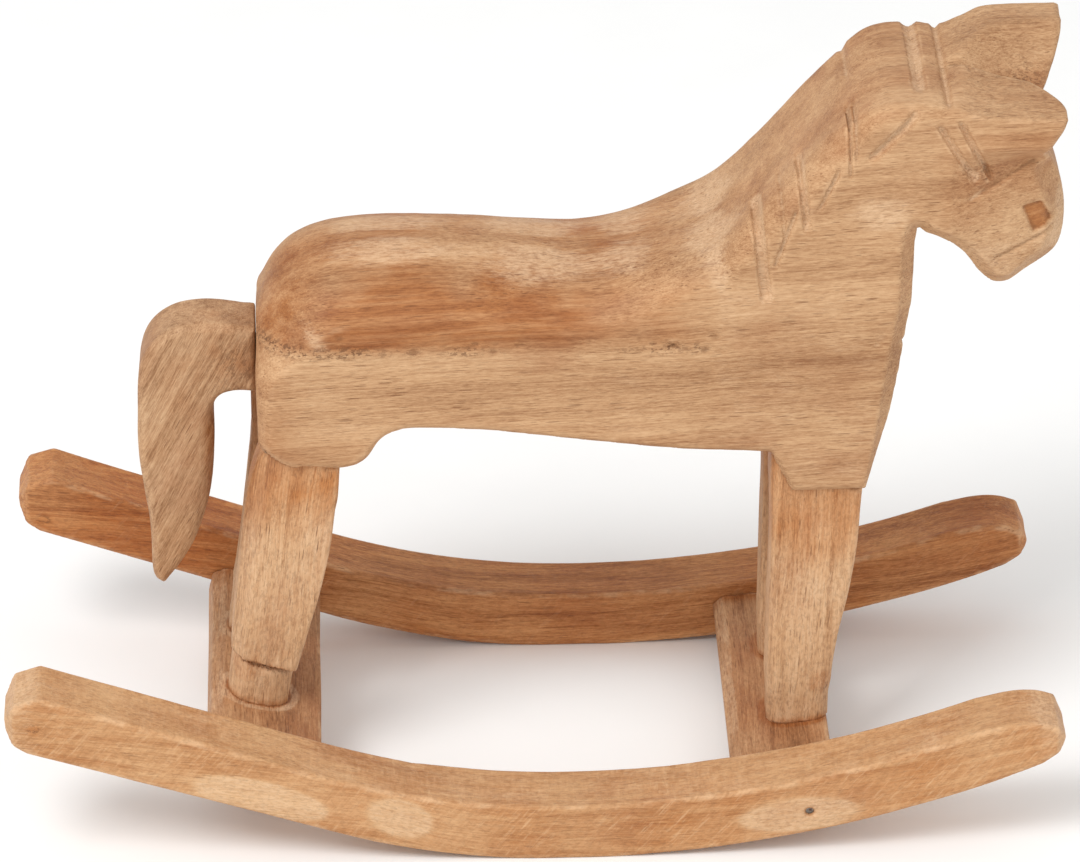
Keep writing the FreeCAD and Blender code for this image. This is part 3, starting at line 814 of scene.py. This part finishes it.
def tail_shape(points):
    x, y, z = points.T
    across = np.abs(y)
    inside = tail_side(x, z)
    half = 9.4 - 1.6 * fall(z, 58.0, 96.0)
    inner = step(x + 0.15 * (z - 90.0), -102.0, -97.0) * fall(z, 112.0, 120.0)
    wide = 2.6 + 2.4 * inner
    solid = rounded_plate(inside, across - half, wide, 2.6 + 3.0 * inner)
    relief = 0.4 * (rough(points, (13.0, 9.0, 22.0)) - 0.5)
    relief += 0.12 * (chips(points, (5.0, 5.0, 8.0)) - 0.5)
    crack = 0.5 * bump(x, z, (-92.6, 118.0), (0.8, 3.4)) * step(across, 3.0, 6.0)
    solid = solid - relief * step(-x, 79.6, 84.0) + crack
    return np.maximum(solid, x + 79.35)


def tail_grain(v):
    lean = math.radians(63.0)
    return np.column_stack([v[:, 0] * math.cos(lean) + v[:, 2] * math.sin(lean),
                            -v[:, 0] * math.sin(lean) + v[:, 2] * math.cos(lean), v[:, 1]])


def tail_stain(v, normals):
    x, _, z = v.T
    cloud = spread(v, 9.0)
    dark = 0.9 * bump(x, z, (-84.0, 132.0), (10.0, 12.0)) * (0.5 + cloud) + 0.18 + 0.35 * cloud
    # Painted shade: the strip along the tail's inner edge, whose rounding faces away from the light, is
    # darkened.
    dark += 0.7 * step(x, -96.0, -93.0) * fall(z, 112.0, 120.0)
    pale = 0.25 + 0.4 * spread(v + 50.0, 12.0)
    return stains(dark, pale, 0.6 * bump(x, z, (-84.0, 132.0), (9.0, 9.0)))


small_pitch = 0.75
carve("tail_piece", "tail", bored(tail_shape, "tail_dowel", 0), tail_grain, tail_stain, TAIL_WOOD,
      small_pitch)


# ---------------------------------------------------------------------- legs

# Side views of the legs: rear edge, foot, front edge, and the narrower tongue inside the body
REAR_LEG_FRONT = ([(-76.0, 0.0)],
                  [(-71.5, 28.0), (-68.3, 42.0), (-62.6, 62.4), (-58.8, 79.3), (-56.6, 95.0),
                   (-55.6, 108.6)],
                  [(-59.0, 108.6)], [(-59.0, 120.0)])
leg_side = {
    ("front", -1): Outline(chained(
        [(69.3, 80.0), (69.0, 60.0), (68.8, 40.0), (68.5, 0.0)], [(87.6, 0.0)],
        [(87.9, 30.0), (89.4, 45.4), (92.3, 62.5), (94.6, 80.0), (95.6, STUB_Z)],
        [(92.0, STUB_Z)], [(92.0, 120.0)], [(69.0, 120.0)], [(69.0, 97.0)])),
    ("rear", -1): Outline(chained(
        [(-79.4, 108.0), (-83.0, 93.2), (-86.3, 66.3), (-89.0, 40.0), (-90.6, 20.0), (-92.0, 0.0)],
        *REAR_LEG_FRONT, [(-76.0, 120.0)], [(-76.0, 113.0)])),
    ("rear", 1): Outline(chained(
        [(-84.0, 74.0), (-87.0, 52.0), (-89.4, 38.0), (-90.6, 20.0), (-92.0, 0.0)],
        *REAR_LEG_FRONT, [(-81.3, 120.0)], [(-81.3, 100.0)]))}
leg_side["front", 1] = leg_side["front", -1]

BOARDS = {"front": {"x": 72.0, "top": 18.0, "tilt": math.radians(6.0), "half": 15.0},
          "rear": {"x": -78.0, "top": 26.8, "tilt": math.radians(-13.5), "half": 16.5}}

# Middle of a foot, half lengths of its flat sides, corner radius and line along Y
FEET = {"front": (78.2, 3.2, 2.1, 6.4, 18.5), "rear": (-80.6, 1.2, 0.1, 8.0, 17.4)}
LEG_LINE = 18.5             # middle of a leg's thickness, from the middle plane
LEG_HALF = 8.45


def on_board(end, x, z):
    """Place along and above the board's upper face."""
    board = BOARDS[end]
    c, s = math.cos(board["tilt"]), math.sin(board["tilt"])
    return ((x - board["x"]) * c + (z - board["top"]) * s,
            (z - board["top"]) * c - (x - board["x"]) * s)


def step_edge(x):
    """Height of the slanted lower edge of a rear leg's outer layer."""
    return 43.6 - 0.31 * (x + 84.3)


def foot_edge(end, x, y):
    """Distance outside a foot's rounded plan."""
    middle, flat_x, flat_y, radius, line = FEET[end]
    return np.hypot(np.maximum(np.abs(x - middle) - flat_x, 0.0),
                    np.maximum(np.abs(np.abs(y) - line) - flat_y, 0.0)) - radius


def make_leg(end, side, side_name):
    name = "%s_%s_leg" % (end, side_name)
    outline = leg_side[end, side]
    seed = np.array([37.0, 11.0, 5.0]) * (1.0 + side + (end == "rear") * 0.7)

    def shape(points):
        x, y, z = points.T
        across = np.abs(side * y - LEG_LINE) - LEG_HALF
        low = fall(z, 34.0, 60.0)
        edge = 1.0 + 0.5 * step(z, 40.0, 60.0) + 1.4 * low
        solid = rounded_plate(outline(x, z), across, edge, edge)
        relief = 0.28 * (rough(points + seed, (9.0, 8.0, 26.0)) - 0.6)
        relief += 0.08 * chips(points + seed, (4.0, 4.0, 9.0))
        free = fall(z, 92.0, 98.0)
        solid = solid - relief * free
        _, above = on_board(end, x, z)
        if end == "front":
            foot = foot_edge(end, x, y)
            solid = smooth_max(solid, foot - 22.0 * step(above, 5.0, 46.0), 1.2)
            chamfer = 0.8 * (69.0 - x) + 0.6 * (side * y - 24.5)
            solid = smooth_max(solid, chamfer, 0.8)
        else:
            over_edge = z - step_edge(x)
            undercut = 1.9 * hill(over_edge, -0.9, 1.1) * step(x, -86.0, -83.6)
            foot = foot_edge(end, x - 0.13 * above, y) + undercut
            chamfer = 0.78 * (-x - 80.0 - (98.0 - z) * 0.145) + 0.62 * (side * y - 23.0)
            solid = np.where(over_edge < 0.0, smooth_max(solid, foot, 0.5), smooth_max(solid, chamfer, 0.8))
        return np.maximum(solid, -0.3 - above)

    def grain(v):
        swing = 0.12 if end == "rear" else 0.04
        return np.column_stack([v[:, 2], v[:, 0] - swing * (v[:, 2] - 60.0), v[:, 1]]) + seed * 3.0

    def stain(v, normals):
        x, _, z = v.T
        cloud = spread(v + seed, 13.0)
        top = {"front": 79.0 + 3.0 * np.sin(x * 0.21), "rear": 94.5 + 0.12 * (x + 60.0)}[end]
        top += 9.0 * cloud
        dark = 0.8 * step(z, top - 12.0, top + 6.0) * (0.85 + 0.5 * cloud) + 0.2 * step(cloud, 0.2, 0.4)
        dark += 0.9 * fall(on_board(end, x, z)[1], 0.3, 2.5)
        dark += 0.5 * step(cloud, 0.15, 0.5) * fall(z, 30.0, 62.0)
        # Painted shadow: a dark line just under the slanted lower edge of the outer layer, where it stands
        # proud of the foot.
        if end == "rear":
            dark += 1.3 * hill(z - step_edge(x), -0.9, 1.2) * step(x, -86.0, -84.0)
        pale = (0.5 + 0.4 * cloud) * fall(z, top - 15.0, top + 3.0) + 0.1
        pits_and_shadow = 0.25
        # The same painted shadow under the step, through the pits amount as well.
        if end == "rear":
            pits_and_shadow += 0.75 * hill(z - step_edge(x), -1.2, 1.2) * step(x, -86.0, -84.0)
        return stains(dark, pale, pits_and_shadow)

    bore = bored(shape, name + "_dowel", 2)
    carve(name + "_piece", name, bore, grain, stain, LEG_WOOD, small_pitch)


for end in ("front", "rear"):
    for side, side_name in ((-1, "right"), (1, "left")):
        make_leg(end, side, side_name)


# -------------------------------------------------------------------- boards

NAIL_RADIUS = 1.2


def nail_places(end, side_name):
    """Side-view places of the two nails of a board end, and how far they reach along Y."""
    low, high = box_mm("%s_%s_board_nails" % (end, side_name))
    first_z, last_z = low[2] + NAIL_RADIUS, high[2] - NAIL_RADIUS
    if end == "rear":
        first_z, last_z = last_z, first_z
    return ((low[0] + NAIL_RADIUS, first_z), (high[0] - NAIL_RADIUS, last_z)), low[1], high[1]


def make_board(end):
    name = end + "_board"
    half = BOARDS[end]["half"]
    offset = 40.0 if end == "front" else 90.0
    nails = []
    for side_name in ("right", "left"):
        places, low_y, high_y = nail_places(end, side_name)
        nails += [(place, low_y, high_y) for place in places]

    def shape(points):
        x, y, z = points.T
        along, above = on_board(end, x, z)
        solid = rounded_plate(np.abs(above + 4.5) - 4.5, np.abs(along) - half, 1.1, 1.1)
        bevel = 0.6 * (-along - half + 3.6) + 0.8 * (above - 0.2)
        solid = smooth_max(solid, bevel, 0.6)
        relief = 0.18 * (rough(points, (10.0, 26.0, 8.0)) - 0.8)
        solid = solid - relief * fall(np.abs(y), 46.5, 48.5)
        solid = np.maximum(solid, np.abs(y) - 48.98)
        for place, low_y, high_y in nails:
            solid = np.maximum(solid, -cylinder(points, place, 1, 1.25, low_y, high_y))
        for side in (-1, 1):
            middle = {"front": 78.0, "rear": -79.5}[end] - BOARDS[end]["x"]      # of the foot screw
            away = np.hypot(along - middle / math.cos(BOARDS[end]["tilt"]), y - LEG_LINE * side)
            sink = np.maximum(2.1, 4.1 - np.maximum(above + 9.0, 0.0) * 2.0 / 2.6)
            solid = np.maximum(solid, sink - away)
        return solid

    def grain(v):
        along, above = on_board(end, v[:, 0], v[:, 2])
        return np.column_stack([v[:, 1] + offset, along, above])

    def stain(v, normals):
        x, y, z = v.T
        along, _ = on_board(end, x, z)
        cloud = spread(v + offset, 12.0)
        dark = 0.25 + 0.5 * cloud + 0.6 * step(np.abs(y), 43.0, 48.5)
        contact = foot_edge(end, x, y)
        dark += 1.1 * fall(contact, 0.6, 2.2) * (1.0 if end == "front" else 0.4)
        glue = 1.6 * hill(contact, 1.5, 0.8) * (end == "rear")
        pale = 0.2 + 0.3 * cloud + 0.5 * fall(along, 3.4 - half, 4.2 - half) + 1.5 * glue
        return stains(dark, pale, 0.2)

    carve(name + "_piece", name, shape, grain, stain, BOARD_WOOD, small_pitch)


for end in ("front", "rear"):
    make_board(end)


# ------------------------------------------------------------------- runners

LOW_X = 7.0                 # the lowest point of the rocking curve
FRONT_RADIUS, REAR_RADIUS = 342.0, 212.0
REAR_SLOPE = 0.33           # slope of the straight rear third
RUNNER_HEIGHT = 18.3
RUNNER_LINE, RUNNER_HALF = 59.0, 9.98


def arc_points(low_z, radius, start_x, end_x, count=14):
    """Points on an arc over the rocking curve's lowest point."""
    return [(x, low_z + radius - math.sqrt(radius ** 2 - (x - LOW_X) ** 2))
            for x in np.linspace(start_x, end_x, count)]


def runner_strokes():
    """Side view of a runner: two arcs under it, two over it, a straight rear third and cut ends."""
    rear = math.atan(REAR_SLOPE)
    rear_x = LOW_X - REAR_RADIUS * math.sin(rear)
    rear_z = REAR_RADIUS * (1.0 - math.cos(rear))
    rise = 40.9 - RUNNER_HEIGHT
    top_radius = ((128.0 - LOW_X) ** 2 + rise ** 2) / (2.0 * rise)
    under = arc_points(0.0, FRONT_RADIUS, LOW_X, 146.5)
    return chained(arc_points(0.0, REAR_RADIUS, rear_x, LOW_X)[1:] + under[1:],
                   [(150.3, 32.6)], [(152.6, 34.6)], [(153.4, 36.8)], [(150.8, 41.8)],
                   [(145.0, 43.4), (138.0, 43.2), (128.0, 40.9)],
                   arc_points(RUNNER_HEIGHT, top_radius, 128.0, LOW_X)[1:-1]
                   + arc_points(RUNNER_HEIGHT, REAR_RADIUS, LOW_X, rear_x),
                   [(-143.0, 58.0)], [(-150.5, 55.5)], [(-153.6, 49.5)], [(-153.2, 46.2)],
                   [(-151.0, 42.5), (-147.0, rear_z + REAR_SLOPE * (rear_x + 147.0))],
                   [(rear_x, rear_z)])


RUNNER = runner_strokes()


def turned(strokes, angle, corner):
    """The strokes turned nose down about the lowest point, then set against a high corner."""
    c, s = math.cos(angle), math.sin(angle)
    strokes = [[(LOW_X + (x - LOW_X) * c + z * s, z * c - (x - LOW_X) * s) for x, z in stroke]
               for stroke in strokes]
    shift = corner[[0, 2]] - np.vstack(strokes).max(0)
    return [[tuple(np.array(p) + shift) for p in stroke] for stroke in strokes]


# Clean ovals on the right runner's face: middle x, half length, slant, middle z, half height, raggedness
# and the soft edge's two limits
CLEAN_OVALS = [(-80.0, 20.0, 0.28, 22.5, 6.5, 0.08, 0.86, 1.08),
               (-40.0, 10.0, 0.2, 15.0, 7.0, 0.1, 0.8, 1.1),
               (76.0, 19.0, -0.1, 13.5, 6.0, 0.1, 0.8, 1.15)]
# How far out a nail's hole reaches: three of a runner's four sunk heads are filled over
FILLED, OPEN = 67.55, 70.0


def make_runner(side, side_name):
    name = side_name + "_runner"
    rear_end, tip = box_mm(name)
    outline = Outline(turned(RUNNER, 0.0 if side < 0 else math.radians(1.6), tip))
    seed = 0.0 if side < 0 else 300.0
    nails = []
    for end in ("front", "rear"):
        (first, last), _, _ = nail_places(end, side_name)
        nails += [first + (FILLED,), last + (OPEN if end == "front" else FILLED,)]

    def shape(points):
        x, y, z = points.T
        out = side * y
        across = np.abs(out - RUNNER_LINE) - RUNNER_HALF
        inside = outline(x, z)
        slope = np.where(x > LOW_X, x - LOW_X, (x - LOW_X) * 1.6)
        top_zone = step(z - np.abs(slope) * 0.14, 8.0, 12.0)
        edge = 0.9 + 0.7 * rough(np.column_stack([x + seed, y * 0.0, z * 0.0]), (23.0, 9.0, 9.0)) ** 2
        solid = rounded_plate(inside, across, edge + 0.3 * top_zone, edge)
        ends = np.maximum(x - tip[0] + 10.0, rear_end[0] + 10.0 - x)
        soft = 0.6 * (np.abs(out - RUNNER_LINE) - 10.0) + 0.8 * (ends - 10.0) + 2.2
        solid = smooth_max(solid, np.where(ends > -4.0, soft, -9.0), 0.3)
        relief = 0.32 * (rough(points + seed, (30.0, 11.0, 9.0)) - 0.7)
        relief += 0.07 * chips(points + seed, (5.0, 4.0, 4.0))
        relief = relief * np.where(across > -2.0, 0.5, 1.0)
        solid = solid - np.minimum(relief, 0.0)
        if side < 0:
            chip = np.hypot(np.hypot((x + 34.0) / 1.8, out - 49.0), z - 24.8)
            solid = smooth_max(solid, 3.2 - chip, 0.3)
            solid = solid + 0.5 * bump(x, out, (-34.0, 52.0), (9.0, 3.0)) * step(z, 20.0, 22.0)
        for nail_x, nail_z, reach in nails:
            away = np.hypot(x - nail_x, z - nail_z)
            mouth = 1.28 + 0.5 * step(out, 68.2, 69.2)
            solid = np.maximum(solid, np.minimum(mouth - away, reach - out))
        return np.maximum(solid, 0.02 - z)

    def grain(v):
        x, y, z = v.T
        front = FRONT_RADIUS - np.sqrt(np.maximum(FRONT_RADIUS ** 2 - (x - LOW_X) ** 2, 1.0))
        base = np.where(x > LOW_X, front, 0.27 * (LOW_X - x) * step(LOW_X - x, 0.0, 60.0))
        return np.column_stack([x + seed, z - 0.55 * base, y + seed])

    def stain(v, normals):
        x, y, z = v.T
        out = side * y
        face = step(np.abs(normals[:, 1]), 0.6, 0.9)
        top = step(normals[:, 2], 0.5, 0.85)
        cloud = spread(v + seed, 15.0)
        # Painted shade: the faces that don't face up are made darker.
        dark = 0.3 + 0.45 * cloud + 0.25 * (1.0 - top)
        if side > 0:
            dark = dark + 0.3 * top + 0.8 * bump(x, z, (-115.0, 44.0), (30.0, 12.0))
        pale = (0.6 if side < 0 else 0.2) * top * (0.8 + 0.4 * cloud)
        if side < 0:
            ovals = 0.0
            for middle, long, slant, place_z, high, ragged, low_limit, limit in CLEAN_OVALS:
                away = np.hypot((x - middle) / long, (z + slant * (x - middle) - place_z) / high)
                ovals += fall(away + ragged * cloud, low_limit, limit)
            ovals = unit(ovals) * face
            pale += 0.9 * ovals
            dark = dark * (1.0 - ovals)
            face = face * (1.0 - 0.9 * ovals)
        cut_ends = step(np.abs(x), 141.0, 147.0) + step(np.abs(normals[:, 0]), 0.35, 0.6)
        pale += (0.6 if side < 0 else 0.2) * cut_ends
        knots = 1.3 * bump(x, z, (-145.0, 47.5), (1.5, 1.2)) * face
        saw = (1.0 * face + 0.8 * top) * (0.75 + 0.5 * cloud) * (1.0 if side < 0 else 0.45)
        return stains(dark + knots, pale, unit(0.2 + knots), unit(saw))

    runner_pitch = 0.8
    finish = RUNNER_WOOD if side < 0 else SHADED_FAR_RUNNER_WOOD
    carve(name + "_piece", name, shape, grain, stain, finish, runner_pitch)


make_runner(-1, "right")
make_runner(1, "left")


# --------------------------------------------------- CAD nodes that stay, floor

dowel_up = plain_wood("dowel_up", 2)
dowel_along = plain_wood("dowel_along", 0)
metal = steel("steel_dull")
for node_name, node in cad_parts.items():
    for ending, finish in (("_leg_dowel", dowel_up), ("tail_dowel", dowel_along), ("_screw", metal),
                           ("_nails", metal)):
        if node_name.endswith(ending):
            node.data.materials.clear()
            node.data.materials.append(finish)

floor_mesh = bpy.data.meshes.new("floor")
FLOOR = 6.0
floor_mesh.from_pydata([(-FLOOR, -FLOOR, 0), (FLOOR, -FLOOR, 0), (FLOOR, FLOOR, 0), (-FLOOR, FLOOR, 0)], [],
                       [(0, 1, 2, 3)])
floor = bpy.data.objects.new("floor", floor_mesh)
bpy.context.scene.collection.objects.link(floor)
paper = Nodes("paper")
paper_noise = paper.noise(paper.stretched(paper.place(), (30.0, 30.0, 30.0)), 2.0)
floor_mesh.materials.append(paper.surface({
    "Base Color": paper.mix(paper_noise, (247, 247, 246), (251, 251, 250)), "Roughness": 0.9}))

bpy.context.scene.view_settings.view_transform = "Standard"
world = bpy.context.scene.world or bpy.data.worlds.new("world")
bpy.context.scene.world = world
world.use_nodes = True
world.node_tree.nodes["Background"].inputs[0].default_value = (1.0, 1.0, 1.0, 1.0)
world.node_tree.nodes["Background"].inputs[1].default_value = 0.75


def softbox(name, place, aim, size, power):
    """A square lamp that shines at a place; metres and watts."""
    lamp = bpy.data.lights.new(name, "AREA")
    lamp.shape = "SQUARE"
    lamp.size = size
    lamp.energy = power
    item = bpy.data.objects.new(name, lamp)
    item.location = place
    item.rotation_euler = (Vector(aim) - Vector(place)).to_track_quat("-Z", "Y").to_euler()
    bpy.context.scene.collection.objects.link(item)


softbox("key", (-0.8, -0.9, 1.6), (0.0, 0.0, 0.1), 0.8, 20.5)
softbox("fill", (1.2, -1.4, 1.1), (0.0, 0.0, 0.1), 1.2, 6.0)

azimuth, elevation, away = math.radians(-2.0), math.radians(30.0), 2.0
camera_data = bpy.data.cameras.new("camera")
camera_data.lens = 228.0
camera_data.sensor_width = 36.0
camera_data.shift_y = 0.01074
camera = bpy.data.objects.new("camera", camera_data)
camera.location = (0.003 + away * math.sin(azimuth) * math.cos(elevation),
                   -away * math.cos(azimuth) * math.cos(elevation), 0.100 + away * math.sin(elevation))
camera.rotation_euler = (math.radians(90.0) - elevation, 0.0, azimuth)
bpy.context.scene.collection.objects.link(camera)
bpy.context.scene.camera = camera
